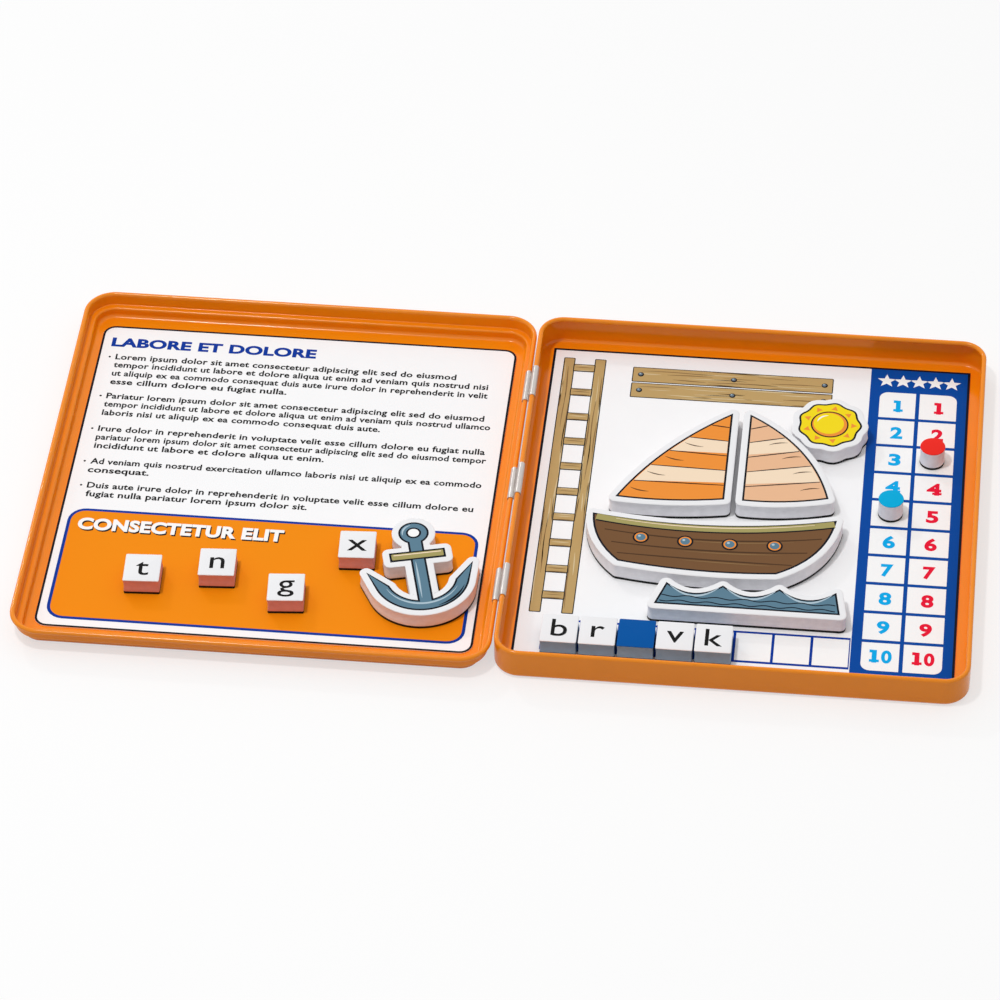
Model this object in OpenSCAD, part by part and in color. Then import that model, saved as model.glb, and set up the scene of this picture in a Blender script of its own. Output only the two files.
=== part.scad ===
// Hinged tin of a travel word game, lying open: a deep base tray with the game board, a wider stepped
// lid tray with the rules card, three tinplate hinge clips, and the loose magnetic pieces.
// Origin: the middle of the open case at table level. +X runs from the lid to the base, +Z is up.

/* [Trays] */
// Outside width of the base tray, square to the hinge
base_w = 182.4; // [178:0.1:220]
// Outside depth of the base tray, along the hinge
base_d = 193.4; // [188:0.1:230]
// Height of the base tray, to the top of its rim
base_h = 13.5; // [12.5:0.1:17]
// Height of the lid's narrow lower section, from its outside to the top of the ledge
step_h = 4.7; // [4.2:0.1:5.6]
// Width of the lid's ledge, from the skirt's inner face to the lower wall's
ledge_w = 2.5; // [2:0.1:3.5]
// Outside radius of the base tray's corners, seen from above
corner_r = 10; // [9:0.5:16]
// Thickness of the tinplate
sheet_t = 0.4; // [0.3:0.05:0.5]
// Outside radius of the rolled rims
bead_r = 1; // [0.7:0.05:1.1]
// Slot left where a rim's curl turns back to its wall
curl_slot = 0.15; // [0.1:0.05:0.2]
// Inside radius of the bend between a wall and its floor
floor_bend = 1.6; // [1:0.1:2]
// Inside radius of the bends at the lid's ledge
ledge_bend = 0.4; // [0.3:0.05:0.6]

/* [Closing] */
// Gap all round between the closed lid's skirt and the base
skirt_gap = 0.3; // [0.25:0.05:0.6]
// Gap between the closed lid's ledge and the base's rim
closed_gap = 0.5; // [0.45:0.05:1]
// Gap between the two rims along the spine when the case lies open
spine_gap = 0.8; // [0.65:0.05:1.5]

/* [Hinge clips] */
// Length of a clip along the spine
clip_len = 17.2; // [10:0.1:24]
// Distance from one clip's middle to the next
clip_pitch = 57; // [40:0.5:64]
// Thickness of a clip's tinplate
clip_t = 0.3; // [0.2:0.05:0.35]
// Radial play of the lid's rim in a clip's curl
pin_play = 0.08; // [0.05:0.01:0.1]
// Space between a clip's hook and the base's rim
hook_play = 0.05; // [0.03:0.01:0.08]
// Clearance of a clip in its window in the lid's skirt
window_play = 0.5; // [0.4:0.1:0.8]

/* [Cards] */
// Thickness of the game board card and of the rules card
card_t = 0.5; // [0.3:0.1:0.8]
// Space from the base's outside to the board card, at the sides
board_side = 6; // [4:0.1:8]
// Space from the base's outside to the board card, at the back
board_back = 5.9; // [4:0.1:7]
// Space from the base's outside to the board card, at the front
board_front = 2.9; // [2.5:0.1:5]
// Space from the lid's outside to the rules card, at the sides
rules_side = 8.1; // [7:0.1:9]
// Space from the lid's outside to the rules card, at the back
rules_back = 11.2; // [8:0.1:13]
// Space from the lid's outside to the rules card, at the front
rules_front = 12.6; // [8:0.1:15]
// Corner radius of the rules card
rules_corner = 5; // [2:0.5:8]

/* [Magnetic pieces] */
// Width of a letter tile
tile_w = 14.2; // [12:0.1:14.5]
// Depth of a letter tile
tile_d = 14.8; // [12:0.1:15.2]
// Whole thickness of a letter tile
tile_h = 7.4; // [5:0.1:8]
// Pitch of the letter boxes printed on the board
box_pitch = 14.9; // [14.8:0.1:15.5]
// Distance from the board card's front edge to the middle of the letter row
row_inset = 17.1; // [16:0.1:24]
// Diameter of a score marker
marker_dia = 10; // [8:0.1:12]
// Whole height of a score marker
marker_h = 8.6; // [6:0.1:8.8]
// Pitch of the printed score rows
score_pitch = 15.75; // [15:0.05:16]
// Distance from the board card's right edge to the middle of the red score column
score_inset = 13.9; // [12:0.1:16]
// Whole thickness of a picture piece
picture_h = 7.5; // [5:0.1:8]
// White border round the print of a picture piece
picture_border = 2.6; // [1.5:0.1:3]
// Thickness of the printed face sheets
face_t = 0.3; // [0.2:0.05:0.5]
// Thickness of the magnet sheet under each piece
magnet_t = 1.2; // [0.8:0.1:1.5]

/* [Hidden] */
$fn = 48;
ROW_TILES = 5;
LID_TILES = 4;
MARKERS = ["red", "blue"];
PICTURES = ["hull", "main_sail", "jib_sail", "sun", "sea", "anchor"];
LAYERS = ["face", "foam", "magnet"];
CLIPS = ["rear", "middle", "front"];

// Colours as they show in the tin
ORANGE = "#F78F1F";
TINPLATE = "#D9D9DC";
CARD = "#FDFDFD";
FOAM = "#E9E9EC";
MAGNET = "#17171A";
BLUE = "#005AA5";
SKY = "#00AEDD";
RED = "#ED2F38";

// The lid goes over the base, so it is wider by the skirt's gap and its rim on both sides
lid_d = base_d + 2 * (skirt_gap + 2 * bead_r);
lid_w = base_w + skirt_gap + spine_gap + 4 * bead_r;
lid_corner_r = corner_r + skirt_gap + 2 * bead_r;
// Closed, the lid has turned half round its own rim, and its ledge lies just over the base's rim
lid_h = (base_h + step_h + closed_gap + 2 * bead_r) / 2;
case_l = lid_w + spine_gap + base_w;
base_x = (case_l - base_w) / 2;
lid_x = (lid_w - case_l) / 2;
base_left = base_x - base_w / 2;
// The hinge axis is the middle of the lid's rolled rim
pin_x = base_left - spine_gap - bead_r;
pin_z = lid_h - bead_r;
hook_x = base_left + bead_r;
hook_z = base_h - bead_r;
curl_r = bead_r + pin_play;
hook_r = bead_r + hook_play;
window_h = curl_r + clip_t + window_play;
window_l = clip_len + 2 * window_play;

board_w = base_w - 2 * board_side;
board_d = base_d - board_back - board_front;
board_y = (board_front - board_back) / 2;
rules_w = lid_w - 2 * rules_side;
rules_d = lid_d - rules_back - rules_front;
rules_y = (rules_front - rules_back) / 2;
seat_z = sheet_t + card_t;

// Middle of the first tile of the letter row, whose boxes start a little in from the card's edge
row_start = 10.7;
row_x = base_x - board_w / 2 + row_start + box_pitch / 2;
row_y = board_y - board_d / 2 + row_inset;
// Middle and turn of each tile and of the anchor on the lid's panel, from the middle of the rules card's
// front edge. They are as for a card DRAWN_CARD_D deep.
LID_TILE_PLACES = [[-46.5, 27.8, 3], [-17.8, 33.6, 3.4], [10.8, 22.3, 4.4], [35.5, 48.3, 3]];
ANCHOR_PLACE = [62.5, 33.1, 14];
DRAWN_CARD_D = 174.2;
panel_unit = rules_d / DRAWN_CARD_D;
panel_y = rules_y - rules_d / 2;
// Column, counted from the right, and row of each score marker, and how far it stands right of the middle
score_head = 14.5;
score_col = 15.8;
score_x = base_x + board_w / 2 - score_inset;
score_top = board_y + board_d / 2 - score_head;
MARKER_CELLS = [[0, 3, 0.4], [1, 5, 1.1]];
// The pictures on the board fill its free area, from the letter row to the back edge. Their outlines are
// drawn for an area of this depth, whose middle is this far behind the board's.
DRAWN_AREA = [160.1, 12.25];
row_back = row_y + tile_d / 2;
picture_unit = (board_y + board_d / 2 - row_back) / DRAWN_AREA[0];
picture_y = (board_y + board_d / 2 + row_back) / 2;

// Printed outlines of the picture pieces, anticlockwise, as places on the board from its middle
function bow(a, b, sag, n) = let (d = b - a, out = [d.y, -d.x] / norm(d))
    [for (i = [0:n - 1]) let (t = i / n) a + t * d + 4 * sag * t * (1 - t) * out];
function arc(c, r, from, to, n) =
    [for (i = [0:n]) let (a = from + (to - from) * i / n) c + r * [cos(a), sin(a)]];
function hull_outline() = concat(
    bow([-60, -12], [-48, -38], 3, 4), bow([-48, -38], [14, -40], 2, 4),
    bow([14, -40], [36, -8], 5, 5), bow([36, -8], [-60, -12], -5, 7));
function main_sail_outline() = concat(
    bow([-2, 0], [32, 4], 1.5, 4), bow([32, 4], [-2, 50], 6, 8), [[-2, 50]]);
function jib_sail_outline() = concat(
    bow([-52, -2], [-9, 0], 1.5, 4), [[-9, 0]], bow([-9, 50], [-52, -2], 4, 7));
function sun_outline() = let (rays = 9, n = 6)
    [for (i = [0:rays * n - 1]) let (a = 360 * i / rays / n)
        [30, 47] + (12.5 + 0.5 * cos(rays * a)) * [cos(a), sin(a)]];
function sea_outline() = concat(
    [[-32, -60], [40, -60]], bow([38, -48], [16, -48], -5, 6), bow([16, -48], [-6, -48], -5, 6),
    bow([-6, -48], [-28, -48], -5, 6), [[-28, -48]]);
// The anchor's half outline runs from its foot to the top of its ring, and is mirrored
function anchor_half() = concat(
    arc([0, 0], 19, 270, 342, 6), [[21, 5]], arc([0, 0], 13.5, -16, -77, 3),
    [[3, 9], [11, 9], [11, 14], [3, 14]], arc([0, 24], 6, -60, 90, 4));
function anchor_outline() = let (h = anchor_half(), n = len(h))
    concat(h, [for (i = [2:n - 1]) [-h[n - i].x, h[n - i].y]]);
function picture_outline(p) =
    p == "hull" ? hull_outline() : p == "main_sail" ? main_sail_outline() :
    p == "jib_sail" ? jib_sail_outline() : p == "sun" ? sun_outline() :
    p == "sea" ? sea_outline() : anchor_outline();
// A place on the lid's panel, and its turn
function panel_place(p) = [lid_x + panel_unit * p.x, panel_y + panel_unit * p.y, p.z];
// The anchor lies on the lid's panel, the other pictures on the board
function picture_place(p) = p == "anchor" ? panel_place(ANCHOR_PLACE) : [base_x, picture_y, 0];
function picture_middle(p) = p == "anchor" ? [0, 0] : [0, DRAWN_AREA[1]];

// Points of an outline grown by a border, with its corners rounded
function unit(v) = v / norm(v);
function out_normal(a, b) = let (d = unit(b - a)) [d.y, -d.x];
function grown(pts, border) = let (n = len(pts)) [
    for (i = [0:n - 1])
        let (a = out_normal(pts[(i + n - 1) % n], pts[i]), b = out_normal(pts[i], pts[(i + 1) % n]),
             turn = atan2(a.x * b.y - a.y * b.x, a * b), steps = ceil(turn / 20))
        each turn <= 0 ? [pts[i] + border * (a + b) / (1 + a * b)] :
            [for (k = [0:steps]) let (t = atan2(a.y, a.x) + turn * k / steps)
                pts[i] + border * [cos(t), sin(t)]]
];

// Sheet metal in the profile plane: u runs inward from the outline, v up
module bend(centre, r, from) {
    translate(centre) rotate(from) intersection() {
        difference() {
            circle(r + sheet_t);
            circle(r);
        }
        square(r + sheet_t);
    }
}

module strip(u, v) {
    translate([u[0], v[0]]) square([u[1] - u[0], v[1] - v[0]]);
}

module curled_rim(height, slot_u) {
    difference() {
        translate([bead_r, height - bead_r]) circle(bead_r);
        translate([bead_r, height - bead_r]) circle(bead_r - sheet_t);
        strip([slot_u, slot_u + curl_slot], [height - 2 * bead_r, height - 1.2 * bead_r]);
    }
}

// The base's rim curls inward, so its outside is one plain wall
module base_profile() {
    foot = floor_bend + sheet_t;
    curled_rim(base_h, sheet_t);
    strip([0, sheet_t], [foot, base_h - bead_r]);
    bend([foot, foot], floor_bend, 180);
}

// The lid's rim curls outward, above a skirt, a ledge and a lower wall. In a window the skirt stops
// short, and the rim is a free pin.
module lid_profile(window = false) {
    skirt = 2 * bead_r;
    wall = skirt + ledge_w;
    skirt_top = window ? pin_z - window_h : lid_h - bead_r;
    curled_rim(lid_h, skirt - sheet_t - curl_slot);
    strip([skirt - sheet_t, skirt], [step_h + ledge_bend, skirt_top]);
    bend([skirt + ledge_bend, step_h + ledge_bend], ledge_bend, 180);
    strip([skirt + ledge_bend, wall - sheet_t - ledge_bend], [step_h - sheet_t, step_h]);
    bend([wall - sheet_t - ledge_bend, step_h - sheet_t - ledge_bend], ledge_bend, 0);
    strip([wall - sheet_t, wall], [floor_bend + sheet_t, step_h - sheet_t - ledge_bend]);
    bend([wall + floor_bend, floor_bend + sheet_t], floor_bend, 180);
}

// A straight run of wall whose outside faces +X
module wall_run(reach, from, to) {
    translate([reach, to, 0]) rotate([90, 0, 0]) linear_extrude(to - from) mirror([1, 0]) children();
}

module rounded_plate(w, d, r, h) {
    linear_extrude(h) {
        square([w - 2 * r, d], center = true);
        square([w, d - 2 * r], center = true);
        for (x = [-1, 1], y = [-1, 1]) translate([x * (w / 2 - r), y * (d / 2 - r)]) circle(r);
    }
}

// A profile carried round a rectangle with round corners, and the floor that lies inside it by inset.
// A tray with open_side lacks its straight run at +X.
module round_tray(w, d, r, inset, open_side = false) {
    for (turn = [0:3]) {
        reach = turn % 2 == 0 ? [w / 2, d / 2] : [d / 2, w / 2];
        rotate(90 * turn) {
            translate(reach - [r, r]) rotate_extrude(angle = 90) translate([r, 0]) mirror([1, 0]) children();
            if (turn > 0 || !open_side) wall_run(reach.x, r - reach.y, reach.y - r) children();
        }
    }
    rounded_plate(w - 2 * inset, d - 2 * inset, r - inset, sheet_t);
}

module base_tray() {
    color(ORANGE) translate([base_x, 0, 0])
        round_tray(base_w, base_d, corner_r, sheet_t + floor_bend) base_profile();
}

// Along the hinge, windows in the skirt let the clips curl round the rim, which is their pin
module lid_tray() {
    run_end = lid_d / 2 - lid_corner_r;
    stops = concat([-run_end], [for (i = [-1:1], side = [-1, 1]) i * clip_pitch + side * window_l / 2],
        [run_end]);
    color(ORANGE) translate([lid_x, 0, 0]) {
        round_tray(lid_w, lid_d, lid_corner_r, 2 * bead_r + ledge_w + floor_bend, true) lid_profile();
        for (k = [1:len(stops) - 1])
            wall_run(lid_w / 2, stops[k - 1], stops[k]) lid_profile(k % 2 == 0);
    }
}

// Part of a ring of clip metal, from one angle to another
module ring_part(centre, r, from, to) {
    steps = ceil((to - from) / 60);
    reach = 3 * (r + clip_t);
    translate(centre) intersection() {
        difference() {
            circle(r + clip_t);
            circle(r);
        }
        polygon(concat([[0, 0]], [for (i = [0:steps])
            let (a = from + (to - from) * i / steps) reach * [cos(a), sin(a)]]));
    }
}

// A hook over the base's rim, a strap down its outside, and a curl round the lid's rim
module hinge_clip(i) {
    strap_x = hook_x - hook_r - clip_t;
    bend_z = pin_z + curl_r + clip_t;
    color(TINPLATE) translate([0, i * clip_pitch, 0]) rotate([90, 0, 0])
        linear_extrude(clip_len, center = true) {
            ring_part([pin_x, pin_z], curl_r, 0, 250);
            polygon([
                [pin_x + curl_r, pin_z], [pin_x + curl_r + clip_t, pin_z], [strap_x + clip_t, bend_z],
                [strap_x + clip_t, hook_z], [strap_x, hook_z], [strap_x, bend_z]
            ]);
            ring_part([hook_x, hook_z], hook_r, -20, 180);
        }
}

module board_card() {
    color(CARD) translate([base_x, board_y, sheet_t + card_t / 2])
        cube([board_w, board_d, card_t], center = true);
}

module rules_card() {
    color(CARD) translate([lid_x, rules_y, sheet_t]) rounded_plate(rules_w, rules_d, rules_corner, card_t);
}

// Where a layer of a piece starts and how thick it is: magnet below, foam, then the printed face
function layer_z(layer, h) = layer == "magnet" ? 0 : layer == "foam" ? magnet_t : h - face_t;
function layer_t(layer, h) = layer == "magnet" ? magnet_t : layer == "foam" ? h - magnet_t - face_t : face_t;
function layer_colour(layer, face) = layer == "magnet" ? MAGNET : layer == "foam" ? FOAM : face;

module layer(place, turn, layer, h, face) {
    color(layer_colour(layer, face))
        translate([place.x, place.y, seat_z + layer_z(layer, h)]) rotate(turn)
            linear_extrude(layer_t(layer, h)) children();
}

module row_tile(i, layer) {
    place = [row_x + (i - 1) * box_pitch, row_y];
    layer(place, 0, layer, tile_h, i == 3 ? BLUE : CARD) square([tile_w, tile_d], center = true);
}

module lid_tile(i, layer) {
    place = panel_place(LID_TILE_PLACES[i - 1]);
    layer(place, place.z, layer, tile_h, CARD) square([tile_w, tile_d], center = true);
}

module marker(i, layer) {
    cell = MARKER_CELLS[i];
    place = [score_x - cell[0] * score_col + cell[2], score_top - (cell[1] - 0.5) * score_pitch];
    layer(place, 0, layer, marker_h, [RED, SKY][i]) circle(d = marker_dia);
}

module picture(p, layer) {
    place = picture_place(p);
    drawn = [for (point = picture_outline(p)) picture_unit * (point - picture_middle(p))];
    layer(place, place.z, layer, picture_h, CARD) polygon(grown(drawn, picture_border));
}

base_tray();
lid_tray();
board_card();
rules_card();
for (i = [0:2])
    hinge_clip(1 - i);
for (l = LAYERS) {
    for (i = [1:ROW_TILES])
        row_tile(i, l);
    for (i = [1:LID_TILES])
        lid_tile(i, l);
    for (i = [0:1])
        marker(i, l);
    for (p = PICTURES)
        picture(p, l);
}
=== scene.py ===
"""Looks of a travel word game in a hinged tin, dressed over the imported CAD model.

The tin's trays, hinge clips and cards are the CAD nodes with their real finishes. The prints on the cards
are thin plates of ink, and each loose magnetic piece is rebuilt as die-cut layers with pressed edges.
Lengths in this file are millimetres in the shared frame until they reach a mesh, which is in metres.
"""
import itertools
import logging
import math
from dataclasses import dataclass, field
from enum import Enum
from typing import ClassVar

import bpy
import numpy as np
from mathutils import Matrix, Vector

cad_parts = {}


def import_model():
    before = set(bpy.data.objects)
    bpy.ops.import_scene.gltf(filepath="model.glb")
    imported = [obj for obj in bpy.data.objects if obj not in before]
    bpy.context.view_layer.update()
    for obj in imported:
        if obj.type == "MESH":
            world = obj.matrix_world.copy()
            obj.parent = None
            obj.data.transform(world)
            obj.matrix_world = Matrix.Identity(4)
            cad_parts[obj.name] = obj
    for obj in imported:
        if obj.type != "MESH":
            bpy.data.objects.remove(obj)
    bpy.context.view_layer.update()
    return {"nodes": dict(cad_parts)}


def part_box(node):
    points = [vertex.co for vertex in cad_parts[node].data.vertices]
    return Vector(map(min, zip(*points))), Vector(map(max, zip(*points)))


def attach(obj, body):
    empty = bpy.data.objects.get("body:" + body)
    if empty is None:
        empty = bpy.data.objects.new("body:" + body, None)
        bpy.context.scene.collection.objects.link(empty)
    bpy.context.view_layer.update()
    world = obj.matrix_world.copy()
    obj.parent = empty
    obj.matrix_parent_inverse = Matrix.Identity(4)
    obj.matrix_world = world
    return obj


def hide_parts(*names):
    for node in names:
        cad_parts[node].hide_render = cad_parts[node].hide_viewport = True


LOG = logging.getLogger("word_game_tin")
MM = 0.001
# A printed plate stands this far proud of what carries it, and each plate over another as much again
PLATE = 0.03
# Depth that a plate's foot lies inside what carries it, so that no two faces share a plane
FOOT = 0.01
# Heights of a small letter and of a capital in Blender's own type, at a type size of 1
SMALL_HEIGHT = 0.547
CAPITAL_HEIGHT = 0.729
# Lines of more characters than this are small print, whose curves need fewer edges
LONG_LINE = 20
# Patches that handling wears duller: their size in mm, and the noise levels over which they fade in
SCUFF_SIZE = 18.0
SCUFF_LEVELS = (0.35, 0.7)
# Noise levels of the darkest and the lightest blotches of a colour
MOTTLE_LEVELS = (0.3, 0.7)
# Placeholder words, which stand where the real card has its rules
PLACEHOLDER = """lorem ipsum dolor sit amet consectetur adipiscing elit sed do eiusmod tempor incididunt ut labore et
dolore aliqua ut enim ad veniam quis nostrud exercitation ullamco laboris nisi ut aliquip ex ea commodo
consequat duis aute irure dolor in reprehenderit in voluptate velit esse cillum dolore eu fugiat nulla pariatur"""


def to_linear(colour: str) -> tuple[float, float, float, float]:
    """Turns an sRGB hex colour to the linear colour that a shader takes.

    Args:
        colour: Six hex digits after a #.

    Returns:
        Linear red, green, blue and an alpha of 1.
    """
    srgb = np.array([int(colour[i : i + 2], 16) for i in (1, 3, 5)]) / 255
    linear = np.where(srgb <= 0.04045, srgb / 12.92, ((srgb + 0.055) / 1.055) ** 2.4)
    return (*linear.tolist(), 1.0)


def add_node(
    tree: bpy.types.NodeTree, kind: str, settings: dict | None = None, links: dict | None = None
) -> bpy.types.Node:
    """Adds a shader node.

    Args:
        tree: Tree of the material or world.
        kind: The node's type.
        settings: Values by input name, or by property name where no input has it.
        links: Output sockets by the input name they feed.

    Returns:
        The new node.
    """
    node = tree.nodes.new(kind)
    for name, value in (settings or {}).items():
        if isinstance(name, int) or name in node.inputs:
            node.inputs[name].default_value = value
        else:
            setattr(node, name, value)
    for name, socket in (links or {}).items():
        tree.links.new(socket, node.inputs[name])
    return node


# ---- Finishes ----


@dataclass(frozen=True)
class Finish:
    """A surface: its colour, its gloss and the relief that its making leaves.

    grain gives the size in mm of the relief's features along X, Y and Z, and relief its height in mm. gleam is
    the strength of its mirror at right angles, 0.5 for a plain gloss. mottle is the share by which the colour
    drifts over blotches of mottle_size mm, and scuff the roughness that handling adds in patches.
    """

    name: str
    colour: str
    roughness: float
    grain: tuple[float, float, float] = (0.3, 0.3, 0.3)
    relief: float = 0.004
    metallic: float = 0.0
    gleam: float = 0.5
    mottle: float = 0.0
    mottle_size: float = 12.0
    scuff: float = 0.0

    def build(self) -> bpy.types.Material:
        """Makes the material, with its relief and its blotches as noise in Object coordinates."""
        material = bpy.data.materials.new(self.name)
        material.use_nodes = True
        tree = material.node_tree
        shader = tree.nodes["Principled BSDF"]
        for socket, value in {
            "Base Color": to_linear(self.colour),
            "Roughness": self.roughness,
            "Metallic": self.metallic,
            "Specular IOR Level": self.gleam,
        }.items():
            shader.inputs[socket].default_value = value
        place = add_node(tree, "ShaderNodeTexCoord").outputs["Object"]
        spread = tuple(1 / (size * MM) for size in self.grain)
        scaled = add_node(tree, "ShaderNodeMapping", {"Scale": spread}, {"Vector": place}).outputs[0]
        grain = self.pattern(tree, scaled)
        bump = add_node(tree, "ShaderNodeBump", {"Strength": 1.0, "Distance": self.relief * MM}, {"Height": grain})
        tree.links.new(bump.outputs["Normal"], shader.inputs["Normal"])
        if self.scuff:
            # Handling wears the gloss in soft patches
            size = {"Scale": 1 / (SCUFF_SIZE * MM), "Detail": 3.0}
            patch = add_node(tree, "ShaderNodeTexNoise", size, {"Vector": place})
            ends = dict(zip(("From Min", "From Max"), SCUFF_LEVELS))
            ends |= {"To Min": self.roughness, "To Max": self.roughness + self.scuff}
            worn = add_node(tree, "ShaderNodeMapRange", ends, {"Value": patch.outputs[0]})
            tree.links.new(worn.outputs[0], shader.inputs["Roughness"])
        if self.mottle:
            self.add_mottle(tree, shader, place)
        return material

    def pattern(self, tree: bpy.types.NodeTree, place: bpy.types.NodeSocket) -> bpy.types.NodeSocket:
        """The relief's height: plain noise, one feature to each unit of the scaled place."""
        return add_node(tree, "ShaderNodeTexNoise", {"Scale": 1.0, "Detail": 2.0}, {"Vector": place}).outputs[0]

    def add_mottle(
        self, tree: bpy.types.NodeTree, shader: bpy.types.Node, place: bpy.types.NodeSocket
    ) -> None:
        """Lets the colour drift a little darker and lighter over large soft blotches.

        Args:
            tree: The material's tree.
            shader: Its Principled node.
            place: Object coordinates.
        """
        size = {"Scale": 1 / (self.mottle_size * MM), "Detail": 2.0}
        blotch = add_node(tree, "ShaderNodeTexNoise", size, {"Vector": place})
        base = np.array(to_linear(self.colour)[:3])
        ramp = add_node(tree, "ShaderNodeValToRGB", links={"Fac": blotch.outputs[0]})
        shares = (1 - self.mottle, 1 + self.mottle)
        for element, at, share in zip(ramp.color_ramp.elements, MOTTLE_LEVELS, shares):
            element.position = at
            element.color = (*np.clip(base * share, 0, 1).tolist(), 1.0)
        tree.links.new(ramp.outputs[0], shader.inputs["Base Color"])


@dataclass(frozen=True)
class CellFoam(Finish):
    """Closed-cell foam: its relief is a field of tiny round cells."""

    def pattern(self, tree: bpy.types.NodeTree, place: bpy.types.NodeSocket) -> bpy.types.NodeSocket:
        """Distance to the nearest cell's middle."""
        return add_node(tree, "ShaderNodeTexVoronoi", {"Scale": 1.0}, {"Vector": place}).outputs["Distance"]


def vinyl(name: str, colour: str, gleam: float = 0.06, mottle: float = 0.02) -> Finish:
    """Vinyl printed in one colour: satin, with the faint relief of its rolls."""
    return Finish(name, colour, 0.4, (0.7, 0.7, 0.7), 0.003, gleam=gleam, mottle=mottle)


def cut_foam(name: str, colour: str, mottle: float = 0.05) -> CellFoam:
    """Die-cut foam, with a relief of cells 0.45 mm wide and small soft blotches."""
    cell = (0.45, 0.45, 0.45)
    return CellFoam(name, colour, 0.8, cell, 0.05, gleam=0.2, mottle=mottle, mottle_size=3.0)


class Surface(Enum):
    """The tin's finishes, apart from its inks."""

    # Stove-enamelled tinplate: an even, glossy orange that draws thin bright lines along its bends
    LACQUER = Finish(
        "orange_enamelled_tinplate", "#F88E0A", 0.13, (1.4, 1.4, 1.4), 0.003, gleam=0.3, mottle=0.015, scuff=0.06
    )
    # Bare rolled tinplate: bright, with fine mill lines along the strip
    TINPLATE = Finish("rolled_tinplate", "#C9C3BF", 0.3, (0.12, 4.0, 0.12), 0.004, metallic=0.85, scuff=0.12)
    # Coated card: white, satin, with a trace of paper fibre
    CARD = Finish("coated_card", "#FDFDFE", 0.5, (0.4, 0.4, 0.4), 0.003, gleam=0.25, mottle=0.006)
    # Printed vinyl on the tiles, markers and picture pieces: smooth and satin, in white or in one strong colour
    VINYL = vinyl("white_vinyl", "#F3F3F5", 0.3, 0.008)
    BLUE_VINYL = vinyl("blue_vinyl", "#0056A4")
    RED_VINYL = vinyl("red_vinyl", "#F42D24")
    SKY_VINYL = vinyl("sky_blue_vinyl", "#00B0E2")
    # Closed-cell foam, die cut: dull, with a field of fine cells on the cut sides
    FOAM = cut_foam("white_cell_foam", "#F0F0F4", 0.04)
    # Painted shade: white foam whose sides are coloured a darker blue grey, which the orange light from the tin
    # turns to the grey of a shaded side
    GREY_FOAM = cut_foam("grey_cell_foam", "#8CB0CD")
    # Painted shade and painted orange reflection: white foam whose sides are coloured a darker pink
    PINK_FOAM = cut_foam("pink_cell_foam", "#DFA09C")
    # Calendered magnet sheet: near black, matt, with faint roll lines
    MAGNET = Finish(
        "flexible_magnet_sheet", "#0E0E10", 0.6, (0.25, 3.0, 0.25), 0.006, gleam=0.2, mottle=0.06, mottle_size=2.0
    )


class Ink(Enum):
    """Inks of the prints, by sRGB colour."""

    WHITE = "#FEFEFE"
    BLACK = "#10151F"
    LETTER = "#141414"
    PANEL_BLUE = "#0049A2"
    LINE_BLUE = "#00389E"
    ORANGE = "#F78F08"
    CYAN = "#00AEEF"
    RED = "#ED1438"
    WOOD = "#C2A26B"
    WOOD_LIGHT = "#D8C49A"
    WOOD_DARK = "#8F714A"
    BOLT = "#6E7C88"
    BROWN = "#785537"
    UMBER = "#4E3724"
    PEACH = "#F0BE96"
    CREAM = "#FBE3C6"
    YELLOW = "#FADF1E"
    AMBER = "#F5963C"
    STEEL = "#5F8296"
    PALE_STEEL = "#B4CAD6"
    KHAKI = "#AAA064"


class FinishShelf:
    """Makes each finish once and hands it out."""

    def __init__(self) -> None:
        """Starts with nothing made."""
        self.made: dict[Surface | Ink, bpy.types.Material] = {}

    def take(self, choice: Surface | Ink) -> bpy.types.Material:
        """Gives the material of a finish, and makes it the first time.

        Args:
            choice: A surface or an ink. Offset ink on coated card or vinyl is thin and satin, and takes the fibre.

        Returns:
            The material.
        """
        if choice not in self.made:
            finish = choice.value
            if isinstance(choice, Ink):
                name, fibre = f"{choice.name.lower()}_offset_ink", (0.4, 0.4, 0.4)
                finish = Finish(name, choice.value, 0.5, fibre, 0.003, gleam=0.07)
            self.made[choice] = finish.build()
        return self.made[choice]


# ---- Flat outlines, in mm, anticlockwise ----


# Corners nearer to each other than this have met: on an outline moved inward, and on one moved out
INSET_STEP = 0.02
GROWN_STEP = 0.1
# How far below a flat piece's top a corner may lie and still count as on it
TOP_SLACK = 0.001

def rounded_box(x0: float, x1: float, y0: float, y1: float, radius: float = 0.0, steps: int = 6) -> np.ndarray:
    """Outline of a rectangle: four quarter circles radius * (cos a, sin a) round the corners' centres.

    Args:
        x0: Left side.
        x1: Right side.
        y0: Near side.
        y1: Far side.
        radius: Radius of the corners, 0 for sharp ones.
        steps: Edges in each corner.

    Returns:
        Points, one a row.
    """
    if radius <= 0:
        return np.array([[x0, y0], [x1, y0], [x1, y1], [x0, y1]], float)
    left, right, near, far = x0 + radius, x1 - radius, y0 + radius, y1 - radius
    centres = np.array([[right, far], [left, far], [left, near], [right, near]])
    angles = np.linspace(0, np.pi / 2, steps + 1)[None, :] + np.arange(4)[:, None] * np.pi / 2
    rim = radius * np.stack([np.cos(angles), np.sin(angles)], -1)
    return (centres[:, None, :] + rim).reshape(-1, 2)


def arc(x: float, y: float, radius: float, start: float, end: float, steps: int = 24) -> np.ndarray:
    """Points of an arc, centre + radius * (cos a, sin a), from one angle in degrees to another."""
    turn = np.radians(np.linspace(start, end, steps + 1))
    return np.stack([x + radius * np.cos(turn), y + radius * np.sin(turn)], 1)


def disc(x: float, y: float, radius: float, steps: int = 28) -> np.ndarray:
    """Outline of a disc."""
    return arc(x, y, radius, 0, 360, steps)[:-1]


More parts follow.
